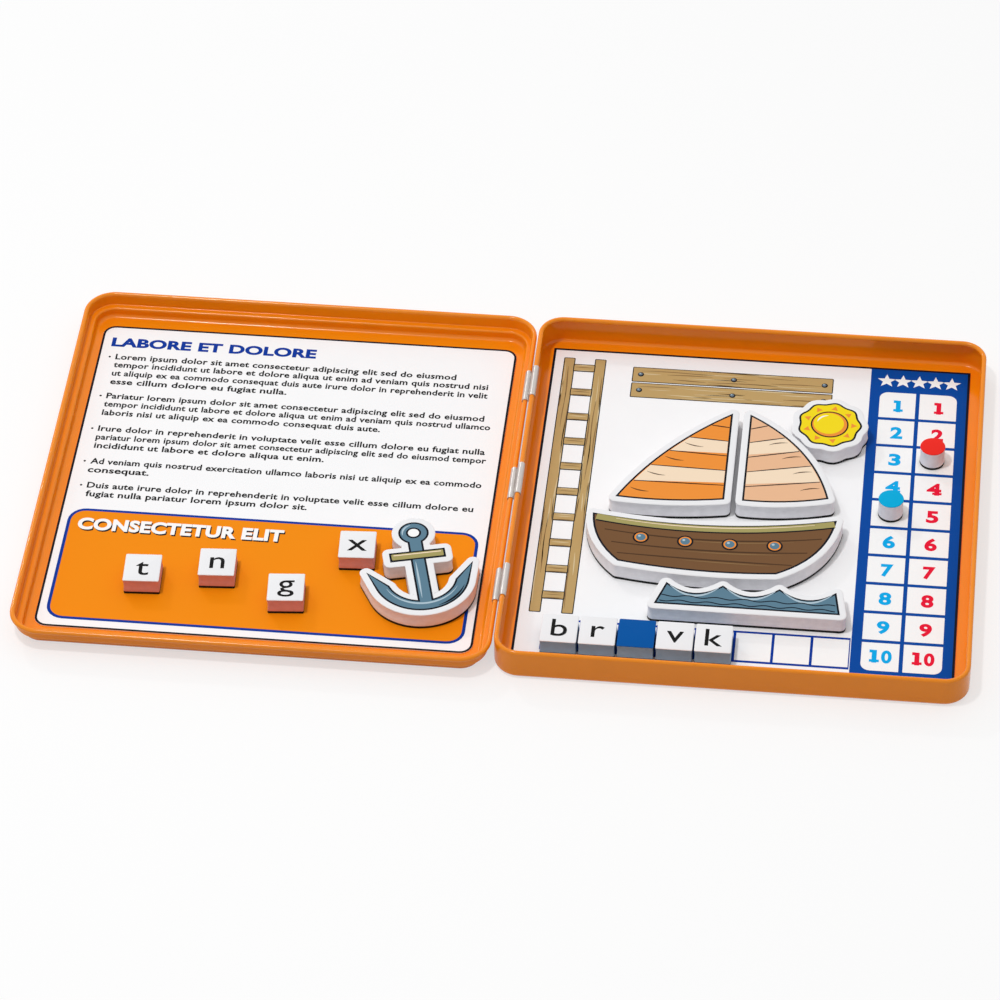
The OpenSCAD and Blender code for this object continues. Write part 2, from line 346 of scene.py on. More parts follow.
def star(x: float, y: float, outer: float, inner: float) -> np.ndarray:
    """Outline of a star with five tips, one of them up: ten even steps round, at outer and inner by turns.

    Args:
        x: Middle.
        y: Middle.
        outer: Radius of the tips.
        inner: Radius of the notches.

    Returns:
        Points, one a row.
    """
    step = np.arange(10)
    angles = np.pi / 2 + step * np.pi / 5
    radii = np.where(step % 2 == 0, outer, inner)
    return np.stack([x + radii * np.cos(angles), y + radii * np.sin(angles)], 1)


def bow(a: tuple[float, float], b: tuple[float, float], sag: float, steps: int = 16) -> np.ndarray:
    """Points of a bowed line: a + t (b - a), and 4 sag t (1 - t) to the right of its way, for t from 0 to 1."""
    start, way = np.array(a, float), np.array(b, float) - np.array(a, float)
    side = np.array([way[1], -way[0]]) / np.hypot(*way)
    t = np.linspace(0, 1, steps + 1)[:, None]
    return start + t * way + 4 * sag * t * (1 - t) * side


def ribbon(path: np.ndarray, width: float, taper: float = 0.0) -> np.ndarray:
    """Outline of an inked line: the path moved half its width to each side, thinner towards both ends.

    Args:
        path: Points of the line's middle.
        width: Its full width in mm.
        taper: Share of the width lost at the ends, 0 for none.

    Returns:
        Points, one a row.
    """
    way = np.gradient(path, axis=0)
    way /= np.linalg.norm(way, axis=1, keepdims=True)
    t = np.linspace(0, 1, len(path))
    half = width / 2 * (1 - taper * (1 - np.sin(np.pi * t)))
    side = np.stack([way[:, 1], -way[:, 0]], 1) * half[:, None]
    return np.concatenate([path + side, (path - side)[::-1]])


def mitres(outline: np.ndarray) -> np.ndarray:
    """Outward step at each corner that moves both its edges out by one: (a + b) / (1 + a.b) of their normals."""
    ahead = np.roll(outline, -1, 0) - outline
    ahead /= np.linalg.norm(ahead, axis=1, keepdims=True)
    normal = np.stack([ahead[:, 1], -ahead[:, 0]], 1)
    before = np.roll(normal, 1, 0)
    return (before + normal) / np.maximum(1 + (before * normal).sum(1, keepdims=True), 0.25)


def inset(outline: np.ndarray, amount: float) -> np.ndarray:
    """The outline moved inward, with the corners that met left out."""
    moved = outline - amount * mitres(outline)
    gap = np.linalg.norm(moved - np.roll(moved, 1, 0), axis=1)
    return moved[gap > INSET_STEP]


def corner_arcs(outline: np.ndarray, steps: int) -> tuple[np.ndarray, np.ndarray]:
    """Arcs (cos a, sin a) at an outline's corners, with a going from one edge's outward normal to the next one's.

    Args:
        outline: Anticlockwise outline.
        steps: Edges in each arc.

    Returns:
        The turn at each corner in radians, and each corner's arc.
    """
    ahead = np.roll(outline, -1, 0) - outline
    heading = np.arctan2(-ahead[:, 0], ahead[:, 1])
    before = np.roll(heading, 1)
    turn = np.mod(heading - before + np.pi, 2 * np.pi) - np.pi
    angles = before[:, None] + turn[:, None] * np.linspace(0, 1, steps + 1)
    return turn, np.stack([np.cos(angles), np.sin(angles)], -1)


def grown(outline: np.ndarray, border: float, steps: int = 6) -> np.ndarray:
    """The outline moved out by a border: an arc round each outward corner, and the mitre at each inward one.

    Args:
        outline: Anticlockwise outline.
        border: How far it moves.
        steps: Edges in each arc.

    Returns:
        Points, one a row.
    """
    turn, arcs = corner_arcs(outline, steps)
    corners = (outline + border * mitres(outline))[:, None]
    moved = np.where((turn <= 0)[:, None, None], corners, outline[:, None] + border * arcs).reshape(-1, 2)
    return moved[np.linalg.norm(moved - np.roll(moved, 1, 0), axis=1) > GROWN_STEP]


def filleted(outline: np.ndarray, radius: float, steps: int = 4) -> np.ndarray:
    """A convex outline with rounded corners: an arc at each, round a centre that lies radius inside both edges.

    Args:
        outline: Points of a convex outline.
        radius: Radius of the rounding.
        steps: Edges in each arc.

    Returns:
        Points, one a row.
    """
    arcs = corner_arcs(outline, steps)[1]
    centres = outline - radius * mitres(outline)
    return (centres[:, None, :] + radius * arcs).reshape(-1, 2)


def turned(points: np.ndarray, degrees: float) -> np.ndarray:
    """Points turned anticlockwise about the origin."""
    c, s = math.cos(math.radians(degrees)), math.sin(math.radians(degrees))
    return points @ np.array([[c, s], [-s, c]])


def outline_of(node: bpy.types.Object) -> np.ndarray:
    """Outline of a flat CAD piece, in mm: the edges that one triangle of its top face uses, put in order round it.

    The order comes from each edge's count of steps to the last one, found by doubling the steps over whole arrays.

    Args:
        node: The CAD node's object.

    Returns:
        Points, anticlockwise, one a row.
    """
    mesh = node.data
    mesh.calc_loop_triangles()
    places = np.empty(len(mesh.vertices) * 3)
    mesh.vertices.foreach_get("co", places)
    places = places.reshape(-1, 3) / MM
    corners = np.empty(len(mesh.loop_triangles) * 3, np.int64)
    mesh.loop_triangles.foreach_get("vertices", corners)
    top = places[:, 2].max() - TOP_SLACK
    spots, same = np.unique(np.round(places, 4), axis=0, return_inverse=True)
    triangles = same.reshape(-1)[corners].reshape(-1, 3)
    triangles = triangles[(spots[triangles][:, :, 2] > top).all(1)]
    edges = np.concatenate([triangles[:, [0, 1]], triangles[:, [1, 2]], triangles[:, [2, 0]]])
    count = len(spots)
    rim = edges[~np.isin(edges[:, 0] * count + edges[:, 1], edges[:, 1] * count + edges[:, 0])]
    ids = np.unique(rim)
    following = np.empty(len(ids), np.int64)
    following[np.searchsorted(ids, rim[:, 0])] = np.searchsorted(ids, rim[:, 1])
    last = np.flatnonzero(following == 0)[0]
    following[last] = last
    steps = (np.arange(len(ids)) != last).astype(np.int64)
    for _ in range(int(np.ceil(np.log2(len(ids)))) + 1):
        steps = steps + steps[following]
        following = following[following]
    loop = spots[ids[np.argsort(-steps)]][:, :2]
    # Points on a straight edge are left out
    ahead, behind = np.roll(loop, -1, 0) - loop, loop - np.roll(loop, 1, 0)
    bend = np.abs(ahead[:, 0] * behind[:, 1] - ahead[:, 1] * behind[:, 0])
    return loop[bend > 1e-4 * np.linalg.norm(ahead, axis=1) * np.linalg.norm(behind, axis=1)]


# ---- Meshes ----


def make_piece(
    name: str, points: np.ndarray, faces: list, materials: list, slots: np.ndarray | None, smooth: float | None
) -> bpy.types.Object:
    """Makes a mesh object at the origin.

    Args:
        name: The piece's name.
        points: Vertices in mm, one a row.
        faces: Vertex numbers of each face.
        materials: Its materials.
        slots: Material number of each face, or None for the first.
        smooth: Angle in degrees over which an edge stays sharp, or None for flat faces.

    Returns:
        The object, linked to the scene.
    """
    mesh = bpy.data.meshes.new(name)
    mesh.from_pydata((points * MM).tolist(), [], faces)
    for material in materials:
        mesh.materials.append(material)
    if slots is not None:
        mesh.polygons.foreach_set("material_index", slots.astype(np.int32))
    if smooth is not None:
        mesh.polygons.foreach_set("use_smooth", np.ones(len(mesh.polygons), bool))
        mesh.set_sharp_from_angle(angle=math.radians(smooth))
    mesh.update()
    piece = bpy.data.objects.new(name, mesh)
    bpy.context.scene.collection.objects.link(piece)
    return piece


def loft(outline: np.ndarray, profile: list[tuple[float, float]]) -> tuple[np.ndarray, list]:
    """Surface of a cut block: point (i, k) is outline point i moved inward by profile row k's inset, at its height.

    Args:
        outline: Anticlockwise outline, n points.
        profile: Pairs of inset and height, from the foot to the top.

    Returns:
        Vertices in mm, and faces: the side's quads and the two ends.
    """
    out = mitres(outline)
    rows = np.array(profile)
    flat = outline[None] - rows[:, 0][:, None, None] * out[None]
    high = np.broadcast_to(rows[:, 1][:, None, None], (*flat.shape[:2], 1))
    points = np.concatenate([flat, high], 2).reshape(-1, 3)
    n, k = len(outline), len(rows)
    ring = np.arange(n)
    low = ring[None] + n * np.arange(k - 1)[:, None]
    low_next = (ring[None] + 1) % n + n * np.arange(k - 1)[:, None]
    quads = np.stack([low, low_next, low_next + n, low + n], -1).reshape(-1, 4)
    return points, [*quads.tolist(), ring[::-1].tolist(), (ring + n * (k - 1)).tolist()]


def glyph(text: str, bold: float, detail: int = 5) -> tuple[np.ndarray, list]:
    """Shape of some characters at a type size of 1, as a closed mesh of thickness 1, from Blender's own type.

    Args:
        text: The characters.
        bold: How far each outline is moved out.
        detail: Edges along each of a curve's segments.

    Returns:
        Vertices and faces, with the baseline at y = 0, the middle of the width at x = 0 and the foot at z = 0.
    """
    curve = bpy.data.curves.new("glyph", "FONT")
    curve.body = text
    curve.offset = bold
    curve.space_character = 1.0 + bold
    curve.extrude = 0.5
    curve.resolution_u = detail
    holder = bpy.data.objects.new("glyph", curve)
    bpy.context.scene.collection.objects.link(holder)
    bpy.context.view_layer.update()
    mesh = bpy.data.meshes.new_from_object(holder.evaluated_get(bpy.context.evaluated_depsgraph_get()))
    points = np.empty(len(mesh.vertices) * 3)
    mesh.vertices.foreach_get("co", points)
    # The front, the back and the wall come apart, so their shared corners are made one
    points, same = np.unique(np.round(points.reshape(-1, 3), 5), axis=0, return_inverse=True)
    points[:, 0] -= (points[:, 0].min() + points[:, 0].max()) / 2
    points[:, 2] += 0.5
    joined = (np.unique(same.reshape(-1)[list(polygon.vertices)]) for polygon in mesh.polygons)
    whole = [len(corners) == len(polygon.vertices) for corners, polygon in zip(joined, mesh.polygons)]
    kept = itertools.compress(mesh.polygons, whole)
    faces = [same.reshape(-1)[list(polygon.vertices)].tolist() for polygon in kept]
    bpy.data.objects.remove(holder)
    bpy.data.meshes.remove(mesh)
    bpy.data.curves.remove(curve)
    return points, faces


@dataclass
class PrintedSheet:
    """The print on one card or cover: thin closed plates of ink, built as one piece.

    Shapes are given in mm from origin, before the sheet is turned by turn degrees about it.
    """

    name: str
    body: str
    slot: str
    origin: tuple[float, float]
    top: float
    turn: float = 0.0
    points: list[np.ndarray] = field(default_factory=list)
    faces: list = field(default_factory=list)
    inks: list[Ink] = field(default_factory=list)
    count: int = 0

    def keep(self, points: np.ndarray, faces: list, ink: Ink) -> None:
        """Adds a finished mesh in the sheet's own coordinates."""
        self.points.append(points)
        self.faces.extend([[i + self.count for i in face] for face in faces])
        self.inks.extend([ink] * len(faces))
        self.count += len(points)

    def add(self, outline: np.ndarray, ink: Ink, level: int = 0) -> None:
        """Adds a plate: the outline at the plate's foot and at its top, joined by a wall.

        Args:
            outline: Its outline, in either direction.
            ink: Its colour.
            level: How many plates lie under it.
        """
        x, y = outline[:, 0], outline[:, 1]
        if (x * np.roll(y, -1) - y * np.roll(x, -1)).sum() < 0:
            outline = outline[::-1]
        heights = [(0.0, -FOOT), (0.0, PLATE * (level + 1))]
        self.keep(*loft(outline, heights), ink)

    def band(self, outline: np.ndarray, width: float, ink: Ink, level: int = 0) -> None:
        """Adds a frame of the given width inside an outline: outer and inner rings at foot and top, joined round.

        Args:
            outline: The frame's outer outline, anticlockwise.
            width: Its width.
            ink: Its colour.
            level: How many plates lie under it.
        """
        inner = outline - width * mitres(outline)
        low, high = -FOOT, PLATE * (level + 1)
        rings = [(outline, low), (outline, high), (inner, high), (inner, low)]
        points = np.concatenate([np.column_stack([ring, np.full(len(ring), z)]) for ring, z in rings])
        n = len(outline)
        ring = np.arange(n)
        quads = [
            np.stack([ring + n * a, (ring + 1) % n + n * a, (ring + 1) % n + n * b, ring + n * b], 1)
            for a, b in ((0, 1), (1, 2), (2, 3), (3, 0))
        ]
        self.keep(points, np.concatenate(quads).tolist(), ink)

    def boxes(self, corners: np.ndarray, ink: Ink, level: int = 0) -> None:
        """Adds many small rectangles at once.

        Args:
            corners: One row of x0, x1, y0, y1 for each.
            ink: Their colour.
            level: How many plates lie under them.
        """
        x0, x1, y0, y1 = corners.T
        ring = np.stack([np.stack(corner, 1) for corner in ((x0, y0), (x1, y0), (x1, y1), (x0, y1))], 1)
        heights = np.array([-FOOT, PLATE * (level + 1)])
        points = np.concatenate(
            [np.concatenate([ring, np.full((*ring.shape[:2], 1), z)], 2) for z in heights], 1
        ).reshape(-1, 3)
        one = np.array([[3, 2, 1, 0], [4, 5, 6, 7], [0, 1, 5, 4], [1, 2, 6, 5], [2, 3, 7, 6], [3, 0, 4, 7]])
        faces = (one[None] + 8 * np.arange(len(corners))[:, None, None]).reshape(-1, 4)
        self.keep(points, faces.tolist(), ink)

    def type(
        self, text: str, x: float, y: float, size: tuple[float, float], ink: Ink, bold: float = 0.0, level: int = 0
    ) -> None:
        """Adds a figure or letter with its baseline's middle at (x, y).

        Args:
            text: The characters.
            x: Middle of its width.
            y: Its baseline.
            size: Type size across and up, in mm.
            ink: Its colour.
            bold: How far the strokes are thickened, as a share of the size.
            level: How many plates lie under it.
        """
        points, faces = glyph(text, bold)
        points = points * [size[0], size[1], FOOT + PLATE * (level + 1)] + [x, y, -FOOT]
        self.keep(points, faces, ink)

    def line(
        self, text: str, x: tuple[float, float], y: float, height: float, ink: Ink, bold: float, level: int
    ) -> None:
        """Adds a line of characters, set to an exact width.

        Args:
            text: The characters.
            x: Where the line starts and ends.
            y: Its baseline.
            height: Type size up the sheet, in mm.
            ink: Its colour.
            bold: How far the strokes are thickened, as a share of the size.
            level: How many plates lie under it.
        """
        points, faces = glyph(text, bold, 2 if len(text) > LONG_LINE else 5)
        spread = (x[1] - x[0]) / (points[:, 0].max() - points[:, 0].min())
        points = points * [spread, height, FOOT + PLATE * (level + 1)] + [(x[0] + x[1]) / 2, y, -FOOT]
        self.keep(points, faces, ink)

    def build(self, shelf: FinishShelf) -> bpy.types.Object:
        """Puts the plates in place and makes the piece, riding on its body.

        Args:
            shelf: Where its inks come from.

        Returns:
            The piece.
        """
        points = np.concatenate(self.points)
        points[:, :2] = turned(points[:, :2], self.turn) + self.origin
        points[:, 2] += self.top
        used = sorted(set(self.inks), key=lambda ink: ink.name)
        slots = np.array([used.index(ink) for ink in self.inks])
        piece = make_piece(self.name, points, self.faces, [shelf.take(ink) for ink in used], slots, None)
        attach(piece, self.body)
        LOG.info("%s: %d plates' faces in %d inks", self.name, len(self.faces), len(used))
        return piece


def middle(node: str) -> tuple[float, float]:
    """Middle of a CAD node's box from above, in mm."""
    low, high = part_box(node)
    return (low.x + high.x) / 2 / MM, (low.y + high.y) / 2 / MM


def foot_of(node: str) -> float:
    """Height of a CAD node's foot, in mm."""
    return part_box(node)[0].z / MM


def top_of(node: str) -> float:
    """Height of a CAD node's top, in mm."""
    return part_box(node)[1].z / MM


# ---- The tin ----


@dataclass
class TinCase:
    """The two trays, the three clips and the two bare cards, which stay as the CAD makes them."""

    trays: tuple[str, ...] = ("base_tray", "lid_tray")
    clips: tuple[str, ...] = ("hinge_clip_rear", "hinge_clip_middle", "hinge_clip_front")
    cards: tuple[str, ...] = ("board_card", "rules_card")

    def dress(self, nodes: dict, shelf: FinishShelf) -> None:
        """Gives each node its real finish.

        Args:
            nodes: The CAD nodes by name.
            shelf: Where finishes come from.
        """
        for names, surface in (
            (self.trays, Surface.LACQUER),
            (self.clips, Surface.TINPLATE),
            (self.cards, Surface.CARD),
        ):
            for name in names:
                mesh = nodes[name].data
                mesh.materials.clear()
                mesh.materials.append(shelf.take(surface))
                LOG.info("%s: %s", name, surface.value.name)


# ---- Prints on the cards ----


# Widths of the bold numbers in mm: a plain one's, and those that differ from it
PLAIN_WIDTH = 4.9
FIGURE_WIDTHS = {1: 3.8, 4: 5.8}
# How far the strokes of each kind of lettering are thickened, as a share of its size
FIGURE_BOLD = 0.042
TITLE_BOLD = 0.045
TEXT_BOLD = 0.025
LETTER_BOLD = 0.004


@dataclass
class BoardPrint:
    """Print of the game board: a frame, a score table, a row of letter boxes and timber, from the card's middle."""

    half_w: float = 85.2
    half_d: float = 92.3
    line: float = 1.0
    panel_x: float = 45.0
    # The score table: sides of its columns, its top, its rows, the lines between cells and its rounded corners
    columns: tuple[tuple[float, float], ...] = ((49.1, 63.7), (65.3, 80.3))
    rows_top: float = 77.8
    row_pitch: float = 15.75
    rows: int = 10
    divider: float = 1.6
    corner: float = 3.5
    # The row of stars: the first one's middle, their pitch, and the radii of tips and notches
    stars: int = 5
    star: tuple[float, float] = (51.5, 84.6)
    star_pitch: float = 6.6
    star_radii: tuple[float, float] = (3.9, 1.65)
    # The numbers: height, shift from their cell's middle, pitch of two figures, a 1's stem, and height of the slabs
    figure: float = 6.5
    figure_shift: float = 0.4
    figure_pitch: float = 4.1
    stem: float = 1.9
    slab: float = 1.3
    boxes_x: tuple[float, float] = (-74.5, 44.7)
    boxes_y: tuple[float, float] = (-80.0, -63.1)
    boxes: int = 8
    box_line: float = 1.1
    # The ladder: sides and ends of its rails, sides of its rungs, and their lowest place, pitch and height
    rails_x: tuple[tuple[float, float], ...] = ((-80.6, -75.9), (-67.9, -63.2))
    rails_y: tuple[float, float] = (-60.0, 87.0)
    rungs: int = 10
    rungs_x: tuple[float, float] = (-76.4, -67.4)
    rungs_y: tuple[float, float, float] = (-52.5, 14.6, 4.4)
    planks_x: tuple[float, float] = (-52.0, 30.0)
    planks_y: tuple[tuple[float, float], ...] = ((65.6, 74.4), (74.9, 83.8))
    bolts_x: tuple[float, ...] = (-48.5, -10.5, 26.5)
    bolts_y: tuple[float, ...] = (70.0, 79.4)

    def build(self, shelf: FinishShelf) -> None:
        """Draws the whole board print."""
        sheet = PrintedSheet("board_print", "base", "board_print", middle("board_card"), top_of("board_card"))
        sheet.band(rounded_box(-self.half_w, self.half_w, -self.half_d, self.half_d), self.line, Ink.BLACK)
        self.draw_timber(sheet)
        self.draw_boxes(sheet)
        self.draw_scores(sheet)
        sheet.build(shelf)

    def draw_scores(self, sheet: PrintedSheet) -> None:
        """Draws the score table: two columns of numbered white cells on blue, under a row of stars."""
        right, far = self.half_w - self.line, self.half_d - self.line
        sheet.add(rounded_box(self.panel_x, right, -far, far), Ink.PANEL_BLUE)
        for k in range(self.stars):
            sheet.add(star(self.star[0] + self.star_pitch * k, self.star[1], *self.star_radii), Ink.WHITE, 1)
        gap, last = self.divider / 2, self.rows - 1
        for column, (x0, x1) in enumerate(self.columns):
            for row in range(self.rows):
                y1 = self.rows_top - self.row_pitch * row - (gap if row else 0)
                y0 = self.rows_top - self.row_pitch * (row + 1) + (gap if row < last else 0)
                cell = rounded_box(x0, x1, y0, y1, 0.01, 1)
                if row in (0, last):
                    cell = self.end_cell(x0, x1, y0, y1, column == 0, row == 0)
                sheet.add(cell, Ink.WHITE, 1)
                x, y = (x0 + x1) / 2 + self.figure_shift, self.rows_top - self.row_pitch * (row + 0.5)
                self.draw_number(sheet, row + 1, x, y, Ink.RED if column else Ink.CYAN)

    def draw_number(self, sheet: PrintedSheet, number: int, x: float, y: float, ink: Ink) -> None:
        """Draws a bold number, with slabs on its ones and fours.

        Args:
            sheet: The print.
            number: The number.
            x: Its middle.
            y: Its middle.
            ink: Its colour.
        """
        foot, high = y - self.figure / 2, self.figure
        figures = str(number)
        # The first of two figures stands a little further out, which keeps its foot clear of the next one
        middles = [x] if len(figures) == 1 else [x - self.figure_pitch / 2 - 0.6, x + self.figure_pitch / 2]
        for cx, character in zip(middles, figures):
            wide = FIGURE_WIDTHS.get(int(character), PLAIN_WIDTH if len(figures) == 1 else self.figure_pitch)
            span = self.stem if character == "1" else wide
            size = high / CAPITAL_HEIGHT
            sheet.line(character, (cx - span / 2, cx + span / 2), foot, size, ink, FIGURE_BOLD, 2)
            if character == "1":
                sheet.add(rounded_box(cx - self.stem, cx + self.stem, foot, foot + self.slab), ink, 3)
                sheet.add(rounded_box(cx - self.stem, cx - 0.5, foot + high - 1.5, foot + high), ink, 3)
            elif character == "4":
                sheet.add(rounded_box(cx - 0.6, cx + wide / 2 + 0.2, foot, foot + self.slab - 0.1), ink, 3)

    def end_cell(self, x0: float, x1: float, y0: float, y1: float, left: bool, top: bool) -> np.ndarray:
        """Outline of a cell at the table's corner: a rectangle whose one outer corner is a quarter circle.

        Args:
            x0: Left side.
            x1: Right side.
            y0: Near side.
            y1: Far side.
            left: Whether that corner is on the left.
            top: Whether it is on the far side.

        Returns:
            Points, one a row.
        """
        cx = x0 + self.corner if left else x1 - self.corner
        cy = y1 - self.corner if top else y0 + self.corner
        # Quarters are counted anticlockwise from the far right corner
        quarter = {(False, True): 0, (True, True): 1, (True, False): 2, (False, False): 3}[(left, top)]
        bend = arc(cx, cy, self.corner, 90 * quarter, 90 * quarter + 90, 6)
        corners = np.array([[x1, y1], [x0, y1], [x0, y0], [x1, y0]])
        return np.concatenate([bend, np.roll(corners, -quarter - 1, 0)[:3]])

    def draw_boxes(self, sheet: PrintedSheet) -> None:
        """Draws the row of letter boxes as white cells on a blue bar."""
        x0, x1 = self.boxes_x
        y0, y1 = self.boxes_y
        sheet.add(rounded_box(x0, x1, y0, y1), Ink.LINE_BLUE)
        pitch = (x1 - x0) / self.boxes
        # A divider takes 0.4 of its width from the box before it and 0.6 from the one after it
        left = x0 + pitch * np.arange(self.boxes) + self.box_line * 0.6
        right = x0 + pitch * np.arange(1, self.boxes + 1) - self.box_line * 0.4
        low, high = np.full(self.boxes, y0 + self.box_line), np.full(self.boxes, y1 - self.box_line)
        sheet.boxes(np.stack([left, right, low, high], 1), Ink.WHITE, 1)

    def draw_timber(self, sheet: PrintedSheet) -> None:
        """Draws a wooden ladder along the left side and a board of two planks at the top."""
        for x0, x1 in self.rails_x:
            self.draw_plank(sheet, x0, x1, *self.rails_y, True)
        low, pitch, high = self.rungs_y
        for k in range(self.rungs):
            y = low + pitch * k
            self.draw_plank(sheet, *self.rungs_x, y, y + high, False, 3)
        for y0, y1 in self.planks_y:
            self.draw_plank(sheet, *self.planks_x, y0, y1, False)
        for x, y in itertools.product(self.bolts_x, self.bolts_y):
            sheet.add(disc(x, y, 1.25, 16), Ink.BLACK, 4)
            sheet.add(disc(x - 0.15, y + 0.15, 0.85, 16), Ink.BOLT, 5)
            sheet.add(disc(x - 0.35, y + 0.4, 0.3, 10), Ink.PALE_STEEL, 6)

    def draw_plank(
        self, sheet: PrintedSheet, x0: float, x1: float, y0: float, y1: float, upright: bool, level: int = 0
    ) -> None:
        """Draws one plank: an ink outline, a tan face, and grain lines that wander as a slow sine along it.

        Args:
            sheet: The print.
            x0: Left side.
            x1: Right side.
            y0: Near side.
            y1: Far side.
            upright: Whether the grain runs up the sheet.
            level: How many plates lie under it.
        """
        sheet.add(rounded_box(x0, x1, y0, y1, 0.5, 3), Ink.BLACK, level)
        sheet.add(rounded_box(x0 + 0.4, x1 - 0.4, y0 + 0.4, y1 - 0.4, 0.3, 3), Ink.WOOD, level + 1)
        long0, long1, wide0, wide1 = (y0, y1, x0, x1) if upright else (x0, x1, y0, y1)
        rng = np.random.default_rng(int(abs(x0) * 10 + abs(y0)))
        length, count = long1 - long0, max(2, int((wide1 - wide0) / 1.3))
        for k in range(count):
            across = wide0 + (wide1 - wide0) * (k + 0.5) / count
            for _ in range(max(1, int(length / 24))):
                span = min(length - 2, rng.uniform(8, 30))
                start = long0 + 1 + rng.uniform(0, max(length - 2 - span, 0))
                along = np.linspace(start, start + span, 14)
                drift = 0.22 * np.sin(along / 5.5 + k * 2.1)
                path = np.stack([across + drift, along] if upright else [along, across + drift], 1)
                ink = Ink.WOOD_DARK if rng.random() < 0.6 else Ink.WOOD_LIGHT
                sheet.add(ribbon(path, rng.uniform(0.3, 0.6), 0.8), ink, level + 2)


@dataclass
class RulesPrint:
    """Print of the rules card: a frame, a heading, lines of placeholder text and a panel for used letters.

    Places are given from a point that lies shift in front of the card's middle. Each line of text has the height
    of its small letters' middle, its start and its end.
    """

    half_w: float = 85.65
    half_d: float = 87.1
    corner: float = 5.0
    line: float = 0.9
    shift: float = 2.2
    paragraphs: tuple[tuple[tuple[float, float, float], ...], ...] = (
        ((70.5, -78.4, 62.4), (65.7, -78.4, 76.0), (60.6, -78.3, 76.3), (55.5, -78.2, -5.4)),
        ((46.9, -78.3, 76.4), (42.0, -78.6, 79.4), (36.9, -78.5, 35.2)),
        ((27.4, -78.5, 78.8), (22.4, -78.6, 79.8), (17.4, -78.5, 14.9)),
        ((8.2, -78.4, 79.5), (3.2, -78.7, -53.9)),
        ((-5.7, -77.5, 77.7), (-10.6, -77.3, 11.8)),
    )
    # Height of the small letters, mean step from letter to letter, and the dot's place before a line and radius
    small: float = 2.5
    advance: float = 1.93
    dot: tuple[float, float] = (2.4, 0.5)
    # Start, end, baseline and height of a heading's capitals
    title: tuple[float, float, float, float] = (-81.3, 3.6, 77.2, 5.1)
    panel: tuple[float, float, float, float] = (-82.0, 81.9, -80.5, -18.9)
    panel_corner: float = 7.0
    outline: float = 1.3
    panel_title: tuple[float, float, float, float] = (-77.5, 4.7, -30.4, 6.2)
    shadow: tuple[float, float] = (0.5, -0.7)

    def build(self, shelf: FinishShelf) -> None:
        """Draws the whole rules print: its text is a piece of its own."""
        sheet = self.start("rules_print")
        near, far = self.shift - self.half_d, self.shift + self.half_d
        sheet.band(rounded_box(-self.half_w, self.half_w, near, far, self.corner), self.line, Ink.BLACK)
        self.draw_title(sheet, "LABORE ET DOLORE", self.title, Ink.LINE_BLUE, 0)
        panel = rounded_box(*self.panel, self.panel_corner)
        sheet.add(panel, Ink.LINE_BLUE)
        sheet.add(inset(panel, self.outline), Ink.ORANGE, 1)
        x0, x1, y, high = self.panel_title
        across, up = self.shadow
        self.draw_title(sheet, "CONSECTETUR ELIT", (x0 + across, x1 + across, y + up, high), Ink.BLACK, 2)
        self.draw_title(sheet, "CONSECTETUR ELIT", self.panel_title, Ink.WHITE, 3)
        sheet.build(shelf)
        text = self.start("rules_text")
        self.draw_text(text)
        text.build(shelf)

    def start(self, name: str) -> PrintedSheet:
        """An empty sheet on the rules card."""
        x, y = middle("rules_card")
        return PrintedSheet(name, "lid", "rules_print", (x, y - self.shift), top_of("rules_card"))

    def draw_title(
        self, sheet: PrintedSheet, text: str, place: tuple[float, float, float, float], ink: Ink, level: int
    ) -> None:
        """Draws a bold heading.

        Args:
            sheet: The print.
            text: Its characters.
            place: Start, end, baseline and height of the capitals.
            ink: Its colour.
            level: How many plates lie under it.
        """
        x0, x1, y, high = place
        sheet.line(text, (x0, x1), y, high / CAPITAL_HEIGHT, ink, TITLE_BOLD, level)

    def draw_text(self, sheet: PrintedSheet) -> None:
        """Sets the placeholder text, whose words run on from line to line, with a dot before each paragraph."""
        words = itertools.cycle(PLACEHOLDER.split())
        size = self.small / SMALL_HEIGHT
        for lines in self.paragraphs:
            y, x0, _ = lines[0]
            sheet.add(disc(x0 - self.dot[0], y, self.dot[1], 10), Ink.LETTER)
            for number, (y, x0, x1) in enumerate(lines):
                # Words are taken until the line is nearly full, and one too long for it is passed over
                text, room = "", (x1 - x0) / self.advance + 2
                while len(text) < room - 6:
                    word = next(words)
                    if len(text) + len(word) < room:
                        text = f"{text} {word}".strip()
                if number == 0:
                    text = text.capitalize()
                if number == len(lines) - 1:
                    text = f"{text}."
                sheet.line(text, (x0, x1), y - self.small / 2, size, Ink.LETTER, TEXT_BOLD, 0)


# ---- Loose magnetic pieces ----


# Angle in degrees over which a cut piece's edge stays sharp
SHARP = 40.0
# How far in mm a letter with an upper or lower stroke is moved up, to stand nearer the middle of its tile
LETTER_LIFTS = {"g": 1.2, "b": -0.6, "k": -0.6, "t": -0.5}


